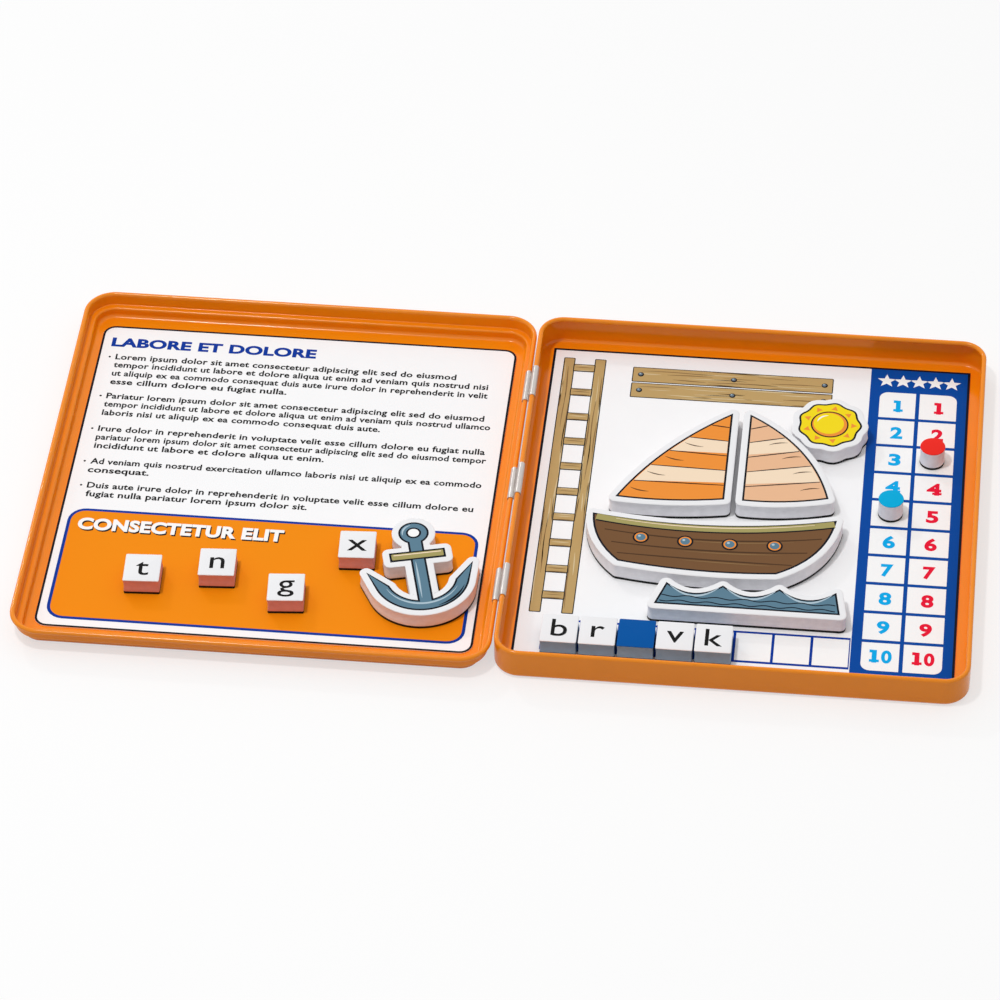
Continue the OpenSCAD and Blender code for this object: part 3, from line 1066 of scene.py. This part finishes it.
@dataclass
class CutBlock:
    """A loose piece cut by one die from printed vinyl, foam and magnet sheet, on the body of its own name."""

    name: str
    outline: np.ndarray
    foot: float
    top: float
    face: Surface
    foam: Surface
    face_slot: str
    # In mm: how thick the magnet sheet and the face are, how far the foam is pinched in, and the face's edge rounded
    magnet_t: float = 1.2
    face_t: float = 0.3
    pinch: float = 0.3
    edge: float = 0.45

    def build(self, shelf: FinishShelf) -> None:
        """Makes the three layers, whose sides are given as pairs of inset and height, from the foot up."""
        seam, print_z = self.foot + self.magnet_t, self.top - self.face_t
        for layer, profile, surface, slot in (
            ("magnet", self.magnet_side(seam), Surface.MAGNET, "magnet_rubber"),
            ("foam", self.foam_side(seam, print_z), self.foam, "white_foam"),
            ("face", self.face_side(print_z), self.face, self.face_slot),
        ):
            points, faces = loft(self.outline, profile)
            name, node = f"{self.name}_{layer}_cut", f"{self.name}_{layer}"
            piece = make_piece(name, points, faces, [shelf.take(surface)], None, SHARP)
            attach(piece, self.name)
            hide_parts(node)
        LOG.info("%s: three layers of %d corners", self.name, len(self.outline))

    def magnet_side(self, seam: float) -> list[tuple[float, float]]:
        """The magnet sheet's side, whose lower edge the die drags in a little."""
        return [(0.14, self.foot), (0.06, self.foot + 0.2), (0.06, seam - 0.15), (0.10, seam)]

    def foam_side(self, seam: float, print_z: float) -> list[tuple[float, float]]:
        """The foam's side, which the die's pressure leaves pinched in at half its height."""
        mid = (seam + print_z) / 2
        near, rise = self.pinch * 0.75, (mid - seam) * 0.45
        ends = [(0.10, seam), (0.06, seam + 0.15)], [(0.06, print_z - 0.2), (0.02, print_z)]
        return [*ends[0], (near, mid - rise), (self.pinch, mid), (near, mid + rise), *ends[1]]

    def face_side(self, print_z: float) -> list[tuple[float, float]]:
        """The printed face's side, whose upper edge the die rounds down."""
        edge, top = self.edge, self.top
        bend = [(edge * 0.12, top - 0.13), (edge * 0.38, top - 0.05), (edge, top)]
        return [(0.02, print_z), (0.0, print_z + 0.06), *bend]


@dataclass
class LetterTiles:
    """The letter tiles in the row on the board and on the panel of the lid."""

    row: tuple[str, ...] = ("b", "r", "", "v", "k")
    panel: tuple[str, ...] = ("t", "n", "g", "x")
    # The radius of a tile's corners in mm, and the type size of its letter across and up
    corner: float = 0.55
    size: tuple[float, float] = (15.0, 13.0)

    def build(self, nodes: dict, shelf: FinishShelf) -> None:
        """Makes every tile and its letter.

        Args:
            nodes: The CAD nodes by name.
            shelf: Where finishes come from.
        """
        for group, letters, foam in (
            # Painted shade: the row's white foam tiles have sides coloured a darker blue grey
            ("row_tile", self.row, Surface.GREY_FOAM),
            # Painted shade and painted orange reflection: the lid's white foam tiles have sides coloured pink
            ("lid_tile", self.panel, Surface.PINK_FOAM),
        ):
            for number, letter in enumerate(letters, 1):
                name = f"{group}_{number}"
                square = outline_of(nodes[f"{name}_face"])
                face, slot = (Surface.VINYL, "printed_face") if letter else (Surface.BLUE_VINYL, "blue_face")
                block, foot, top = filleted(square, self.corner), foot_of(f"{name}_magnet"), top_of(f"{name}_face")
                CutBlock(name, block, foot, top, face, foam, slot).build(shelf)
                if letter:
                    self.print_letter(name, letter, square, shelf)

    def print_letter(self, name: str, letter: str, square: np.ndarray, shelf: FinishShelf) -> None:
        """Prints a letter with its small-letter height in the middle of the tile, turned as the tile is.

        Args:
            name: The tile.
            letter: The character.
            square: The tile's outline.
            shelf: Where inks come from.
        """
        sides = np.roll(square, -1, 0) - square
        lowest = sides[np.argmax(sides[:, 0])]
        turn = math.degrees(math.atan2(lowest[1], lowest[0]))
        centre = tuple(square.mean(0).tolist())
        sheet = PrintedSheet(f"{name}_letter", name, "printed_face", centre, top_of(f"{name}_face"), turn)
        foot = LETTER_LIFTS.get(letter, 0.0) - SMALL_HEIGHT * self.size[1] / 2
        sheet.type(letter, 0.0, foot, self.size, Ink.LETTER, LETTER_BOLD)
        sheet.build(shelf)


@dataclass
class ScoreMarkers:
    """The two round score markers."""

    colours: tuple[tuple[str, Surface, str], ...] = (
        ("red_marker", Surface.RED_VINYL, "red_face"),
        ("blue_marker", Surface.SKY_VINYL, "sky_blue_face"),
    )

    def build(self, nodes: dict, shelf: FinishShelf) -> None:
        """Makes both markers."""
        for name, surface, slot in self.colours:
            rim, foot, top = outline_of(nodes[f"{name}_face"]), foot_of(f"{name}_magnet"), top_of(f"{name}_face")
            CutBlock(name, rim, foot, top, surface, Surface.FOAM, slot, pinch=0.2, edge=0.5).build(shelf)


@dataclass
class PicturePiece:
    """A thick foam picture piece. Its print is drawn in the picture's own coordinates, inside a white border, and
    follows the outline that the CAD piece is grown from, in finer steps."""

    name: str
    place: tuple[float, float]
    turn: float = 0.0
    border: float = 2.6
    ink_line: float = 0.8

    def build(self, shelf: FinishShelf) -> None:
        """Makes the layers and the print."""
        shape = self.outline()
        foot, top, slot = foot_of(f"{self.name}_magnet"), top_of(f"{self.name}_face"), "printed_face"
        rim = turned(grown(shape, self.border), self.turn) + self.place
        CutBlock(self.name, rim, foot, top, Surface.VINYL, Surface.FOAM, slot, pinch=0.35, edge=0.8).build(shelf)
        sheet = PrintedSheet(f"{self.name}_print", self.name, slot, self.place, top, self.turn)
        sheet.add(shape, Ink.BLACK)
        self.draw(sheet, inset(shape, self.ink_line))
        sheet.build(shelf)

    def outline(self) -> np.ndarray:
        """Outline of the print, anticlockwise, in the picture's own coordinates."""
        raise NotImplementedError

    def draw(self, sheet: PrintedSheet, fill: np.ndarray) -> None:
        """Draws the picture inside its ink outline."""
        raise NotImplementedError


class Hull(PicturePiece):
    """A boat's wooden hull."""

    def outline(self) -> np.ndarray:
        """Stern, keel, bow and a sheer line that dips between them."""
        parts = (
            bow((-60, -12), (-48, -38), 3, 8)[:-1],
            bow((-48, -38), (14, -40), 2, 10)[:-1],
            bow((14, -40), (36, -8), 5, 12)[:-1],
            bow((36, -8), (-60, -12), -5, 20)[:-1],
        )
        return np.concatenate(parts)

    def draw(self, sheet: PrintedSheet, fill: np.ndarray) -> None:
        """Draws planks between the two ends, a pale rail, and round windows."""
        sheet.add(fill, Ink.BROWN, 1)
        for share, sag, width in ((0.34, -3.6, 0.75), (0.6, -2.0, 0.75), (0.83, -0.4, 0.7)):
            left = (-58.6 + 12 * share, -12 - 26 * share)
            right = (35.6 - 20.5 * share + 9 * share * (1 - share), -8 - 32 * share)
            line = bow(right, left, sag, 24)
            sheet.add(ribbon(line, width, 0.4), Ink.UMBER, 2)
            sheet.add(ribbon(line[3:-9] - [0, 1.1], 0.45, 0.8), Ink.WOOD_DARK, 2)
        rail = bow((35.2, -10.4), (-58.4, -14.2), -5, 24)
        sheet.add(ribbon(rail, 3.4), Ink.KHAKI, 3)
        sheet.add(ribbon(rail - [0, 1.8], 0.6), Ink.BLACK, 4)
        sheet.add(ribbon(rail[2:-2] + [0, 0.8], 0.5, 0.6), Ink.CREAM, 4)
        for x in (-40.0, -22.5, -5.0, 12.5):
            y = -25.2 + 0.0012 * (x + 12) ** 2
            sheet.add(disc(x, y, 3.2), Ink.BLACK, 4)
            sheet.add(disc(x, y, 2.5), Ink.AMBER, 5)
            sheet.add(disc(x, y, 1.9), Ink.STEEL, 6)
            sheet.add(disc(x - 0.6, y + 0.6, 0.6, 12), Ink.PALE_STEEL, 7)


class Sail(PicturePiece):
    """A sail in panels between its upright edge and its bowed one."""

    upright_x: ClassVar[float]
    foot: ClassVar[tuple[tuple[float, float], tuple[float, float]]]
    peak: ClassVar[tuple[float, float]]
    sag: ClassVar[float]
    inks: ClassVar[tuple[Ink, Ink]]

    def outline(self) -> np.ndarray:
        """A bowed foot, a bowed leech and a straight upright edge."""
        tack, clew = self.foot
        if clew[0] > tack[0]:
            return np.concatenate([bow(tack, clew, 1.5, 8)[:-1], bow(clew, self.peak, self.sag, 20)])
        return np.concatenate([bow(clew, tack, 1.5, 8), bow(self.peak, clew, self.sag, 20)[:-1]])

    def draw(self, sheet: PrintedSheet, fill: np.ndarray) -> None:
        """Draws panels whose seams fan from the upright edge to the bowed one, and a patch at the peak."""
        sheet.add(fill, self.inks[0], 1)
        corner = self.foot[1]
        side = 1.0 if corner[0] > self.upright_x else -1.0
        leech = bow(corner, self.peak, self.sag * side, 60) - np.array([side * 1.0, 0.4])
        seams = (0.0, 0.17, 0.34, 0.51, 0.68, 0.84)
        edge_x = self.upright_x + side * 0.85
        for k, (last, share) in enumerate(itertools.pairwise(seams), 1):
            here, before = int(share * 60), int(last * 60)
            low, high = 50 * last + 1.0, 50 * share - 0.5
            if k % 2 == 0:
                panel = np.concatenate([[[edge_x, low]], leech[before : here + 1], [[edge_x, high]]])
                sheet.add(panel, self.inks[1], 2)
            seam = np.stack([np.linspace(edge_x, leech[here, 0], 12), np.linspace(high, leech[here, 1], 12)], 1)
            sheet.add(ribbon(seam, 0.5, 0.3), Ink.BLACK, 3)
        for share in (0.1, 0.27, 0.44, 0.61):
            here = int(share * 60)
            start = np.array([leech[here, 0] - side * 1.2, leech[here, 1]])
            crease = bow(tuple(start), tuple(start - [side * 7.5, 1.8]), 0.5, 10)
            sheet.add(ribbon(crease, 0.5, 0.9), Ink.UMBER, 3)


class MainSail(Sail):
    """The mainsail, the right one of the two."""

    upright_x = -2.0
    foot = ((-2.0, 0.0), (32.0, 4.0))
    peak = (-2.0, 50.0)
    sag = 6.0
    inks = (Ink.PEACH, Ink.CREAM)


class JibSail(Sail):
    """The jib, the left one of the two."""

    upright_x = -9.0
    foot = ((-9.0, 0.0), (-52.0, -2.0))
    peak = (-9.0, 50.0)
    sag = 4.0
    inks = (Ink.AMBER, Ink.CREAM)


class Sun(PicturePiece):
    """A sun with short rays round a plain disc."""

    def outline(self) -> np.ndarray:
        """A disc whose radius swells nine times round: 12.5 + 0.5 cos 9a."""
        a = np.linspace(0, 2 * np.pi, 108, endpoint=False)[:, None]
        return np.array([30.0, 47.0]) + (12.5 + 0.5 * np.cos(9 * a)) * np.hstack([np.cos(a), np.sin(a)])

    def draw(self, sheet: PrintedSheet, fill: np.ndarray) -> None:
        """Draws nine wedges round the disc, one to each swell of the edge."""
        sheet.add(fill, Ink.YELLOW, 1)
        for k in range(9):
            a = math.radians(40 * k)
            tip = np.array([30 + 11.0 * math.cos(a), 47 + 11.0 * math.sin(a)])
            feet = arc(30, 47, 8.7, 40 * k - 9, 40 * k + 9, 4)
            sheet.add(np.concatenate([feet, [tip]]), Ink.AMBER, 2)
        sheet.add(disc(30, 47, 7.6, 40), Ink.BLACK, 2)
        sheet.add(disc(30, 47, 7.0, 40), Ink.AMBER, 3)
        sheet.add(disc(29.6, 47.5, 6.1, 40), Ink.YELLOW, 4)
        sheet.add(ribbon(arc(29.6, 47.5, 4.6, 95, 170, 16), 0.7, 0.8), Ink.WHITE, 5)


class Sea(PicturePiece):
    """A strip of sea with three crests."""

    def outline(self) -> np.ndarray:
        """A straight foot under three hollows."""
        hollows = [bow((x + 22, -48), (x, -48), -5, 10)[:-1] for x in (16, -6, -28)]
        return np.concatenate([[(-32, -60), (40, -60)], *hollows, [(-28, -48)]])

    def draw(self, sheet: PrintedSheet, fill: np.ndarray) -> None:
        """Draws foam under the crests, and two lines of ripples as a sine."""
        sheet.add(fill, Ink.STEEL, 1)
        for x in (16.0, -6.0, -28.0):
            crest = bow((x + 20.4, -49.6), (x + 1.6, -49.6), -5.0, 14)
            sheet.add(ribbon(crest, 1.0, 0.7), Ink.PALE_STEEL, 2)
        x = np.linspace(-30, 38, 90)
        for y, phase in ((-55.3, 0.0), (-58.0, 1.7)):
            path = np.stack([x, y + 0.45 * np.sin(x / 1.75 + phase)], 1)
            sheet.add(ribbon(path, 0.5), Ink.BLACK, 2)


# Middle of the anchor in mm, in X from the lid tray's middle and in Y from the rules card's, and its turn in degrees
ANCHOR_PLACE = (62.5, -54.0)
ANCHOR_TURN = 14.0


class Anchor(PicturePiece):
    """An anchor, lying on the lid."""

    def outline(self) -> np.ndarray:
        """Its right half from the foot to the top of the ring, and the mirror of that half."""
        half = np.concatenate([
            arc(0, 0, 19, 270, 342, 16),
            [(21, 5)],
            arc(0, 0, 13.5, -16, -77, 14),
            [(3, 9), (11, 9), (11, 14), (3, 14)],
            arc(0, 24, 6, -60, 90, 16),
        ])
        return np.concatenate([half, (half * [-1, 1])[::-1][1:-1]])

    def draw(self, sheet: PrintedSheet, fill: np.ndarray) -> None:
        """Draws the iron with light along its left, a wooden stock and the ring's eye."""
        sheet.add(fill, Ink.STEEL, 1)
        sheet.add(rounded_box(-10.9, 10.9, 9.2, 13.8, 0.4, 3), Ink.BLACK, 2)
        sheet.add(rounded_box(-10.2, 10.2, 9.9, 13.1, 0.4, 3), Ink.KHAKI, 3)
        sheet.add(rounded_box(-9.4, 9.4, 12.1, 12.6, 0.2, 3), Ink.CREAM, 4)
        sheet.add(disc(0, 24, 3.0), Ink.BLACK, 2)
        sheet.add(disc(0, 24, 2.2), Ink.WHITE, 3)
        sheet.add(ribbon(arc(0, 24, 4.4, 100, 190, 14), 0.8, 0.8), Ink.PALE_STEEL, 2)
        shank = np.stack([np.full(12, -1.2), np.linspace(-12, 8, 12)], 1)
        sheet.add(ribbon(shank, 0.8, 0.8), Ink.PALE_STEEL, 2)
        sheet.add(ribbon(arc(0, 0, 15.2, 200, 330, 30), 0.9, 0.9), Ink.PALE_STEEL, 2)
        sheet.add(ribbon(arc(0, 0, 17.6, 285, 335, 20), 0.9, 0.9), Ink.BLACK, 2)


# ---- The studio ----


@dataclass
class Studio:
    """Camera, floor and light. The camera's numbers come from a fit to the corners of both rims in the photo."""

    # The camera's place in mm, its angles in degrees, and its focal length in pixels of a photo this wide
    eye: tuple[float, float, float] = (160.344, -1390.028, 1351.957)
    elevation: float = 44.0
    azimuth: float = -6.743372
    roll: float = 1.04973
    focal_px: float = 4892.73
    photo_px: float = 1000.0
    # The sky's brightness at its dark and its bright end, the way to the bright end, and where along it they lie
    sky: tuple[float, float] = (0.17, 0.79)
    sky_way: tuple[float, float, float] = (-0.2, 0.5, 0.84)
    sky_ends: tuple[float, float] = (-0.3, 0.9)
    # Each lamp's place in metres, its diameter and its power
    lamps: tuple[tuple[tuple[float, float, float], float, float], ...] = (
        ((-0.35, -0.2, 1.5), 0.11, 7.2),
        ((-1.0, 1.25, 1.15), 0.1, 3.2),
    )
    # The floor's half side and height in mm, how white it is to the light that it throws back on the object, and
    # the share of its white that is its own light where it is seen
    floor_half: float = 6000.0
    floor_z: float = -0.2
    paper: float = 0.8
    glow: float = 0.6

    def build(self) -> None:
        """Sets the scene up round the object."""
        self.add_camera()
        self.add_floor()
        self.add_light()
        bpy.context.scene.view_settings.view_transform = "Standard"

    def add_camera(self) -> None:
        """Adds the camera: forward, right and down from its angles, then rolled about its line of sight."""
        el, az, roll = (math.radians(a) for a in (self.elevation, self.azimuth, self.roll))
        forward = np.array([math.sin(az) * math.cos(el), math.cos(az) * math.cos(el), -math.sin(el)])
        right = np.array([math.cos(az), -math.sin(az), 0.0])
        down = np.cross(forward, right)
        right, down = (
            math.cos(roll) * right + math.sin(roll) * down,
            math.cos(roll) * down - math.sin(roll) * right,
        )
        lens = bpy.data.cameras.new("photo_camera")
        lens.sensor_width = 36.0
        lens.lens = self.focal_px / self.photo_px * lens.sensor_width
        lens.clip_start, lens.clip_end = 0.05, 20.0
        camera = bpy.data.objects.new("photo_camera", lens)
        turn = np.eye(4)
        turn[:3, 0], turn[:3, 1], turn[:3, 2] = right, -down, -forward
        turn[:3, 3] = np.array(self.eye) * MM
        camera.matrix_world = Matrix(turn.tolist())
        bpy.context.scene.collection.objects.link(camera)
        bpy.context.scene.camera = camera

    def seen(self, tree: bpy.types.NodeTree) -> bpy.types.NodeSocket:
        """1 on a ray that shows the background: from the camera, in a mirror or through glass, and 0 on others."""
        rays, most = add_node(tree, "ShaderNodeLightPath").outputs, {"operation": "MAXIMUM"}
        pair = add_node(tree, "ShaderNodeMath", most, {0: rays["Is Camera Ray"], 1: rays["Is Glossy Ray"]})
        every = add_node(tree, "ShaderNodeMath", most, {0: pair.outputs[0], 1: rays["Is Transmission Ray"]})
        return every.outputs[0]

    def add_floor(self) -> None:
        """Adds a white floor that keeps a soft shadow. Where it is seen, part of its white is its own light."""
        flat = rounded_box(-self.floor_half, self.floor_half, -self.floor_half, self.floor_half)
        points = np.column_stack([flat, np.full(4, self.floor_z)])
        material = bpy.data.materials.new("white_paper_sweep")
        material.use_nodes = True
        tree = material.node_tree
        shader = tree.nodes["Principled BSDF"]
        shader.inputs["Roughness"].default_value = 0.9
        shader.inputs["Specular IOR Level"].default_value = 0.0
        shader.inputs["Emission Color"].default_value = (1.0, 1.0, 1.0, 1.0)
        seen = self.seen(tree)
        ends = {"To Min": self.paper, "To Max": 1 - self.glow}
        paper = add_node(tree, "ShaderNodeMapRange", ends, {"Value": seen})
        glow = add_node(tree, "ShaderNodeMath", {"operation": "MULTIPLY", 1: self.glow}, {0: seen})
        tree.links.new(paper.outputs[0], shader.inputs["Base Color"])
        tree.links.new(glow.outputs[0], shader.inputs["Emission Strength"])
        make_piece("floor", points, [[0, 1, 2, 3]], [material], None, None)

    def add_light(self) -> None:
        """Adds a sky that brightens to the top and the back, and small lamps, which draw bright lines on bends."""
        world = bpy.data.worlds.new("studio")
        world.use_nodes = True
        tree = world.node_tree
        place = add_node(tree, "ShaderNodeTexCoord").outputs["Generated"]
        way = {"operation": "DOT_PRODUCT", 1: self.sky_way}
        lean = add_node(tree, "ShaderNodeVectorMath", way, {0: place})
        ends = dict(zip(("From Min", "From Max", "To Min", "To Max"), self.sky_ends + self.sky))
        level = add_node(tree, "ShaderNodeMapRange", ends, {"Value": lean.outputs["Value"]})
        most = {"operation": "MAXIMUM"}
        strength = add_node(tree, "ShaderNodeMath", most, {0: level.outputs[0], 1: self.seen(tree)})
        background = tree.nodes["Background"]
        background.inputs["Color"].default_value = (1.0, 1.0, 1.0, 1.0)
        tree.links.new(strength.outputs[0], background.inputs["Strength"])
        bpy.context.scene.world = world
        for number, (place, wide, power) in enumerate(self.lamps, 1):
            lamp = bpy.data.lights.new(f"spot_lamp_{number}", "AREA")
            lamp.shape, lamp.size, lamp.energy = "DISK", wide, power
            holder = bpy.data.objects.new(f"spot_lamp_{number}", lamp)
            back = np.array(place) / np.linalg.norm(place)
            side = np.cross([0.0, 1.0, 0.0], back)
            side /= np.linalg.norm(side)
            turn = np.eye(4)
            turn[:3, 0], turn[:3, 1], turn[:3, 2], turn[:3, 3] = side, np.cross(back, side), back, place
            holder.matrix_world = Matrix(turn.tolist())
            bpy.context.scene.collection.objects.link(holder)


def main() -> None:
    """Loads the frame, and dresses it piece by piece."""
    logging.basicConfig(level=logging.INFO, format="%(name)s: %(message)s")
    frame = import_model()
    nodes = frame["nodes"]
    shelf = FinishShelf()
    Studio().build()
    TinCase().dress(nodes, shelf)
    BoardPrint().build(shelf)
    RulesPrint().build(shelf)
    LetterTiles().build(nodes, shelf)
    ScoreMarkers().build(nodes, shelf)
    board = middle("base_tray")[0], 0.0
    for kind, name in ((Hull, "hull"), (MainSail, "main_sail"), (JibSail, "jib_sail"), (Sun, "sun"), (Sea, "sea")):
        kind(f"{name}_picture", board).build(shelf)
    lid, card = middle("lid_tray"), middle("rules_card")
    place = lid[0] + ANCHOR_PLACE[0], card[1] + ANCHOR_PLACE[1]
    Anchor("anchor_picture", place, ANCHOR_TURN).build(shelf)


if __name__ == "__main__":
    main()
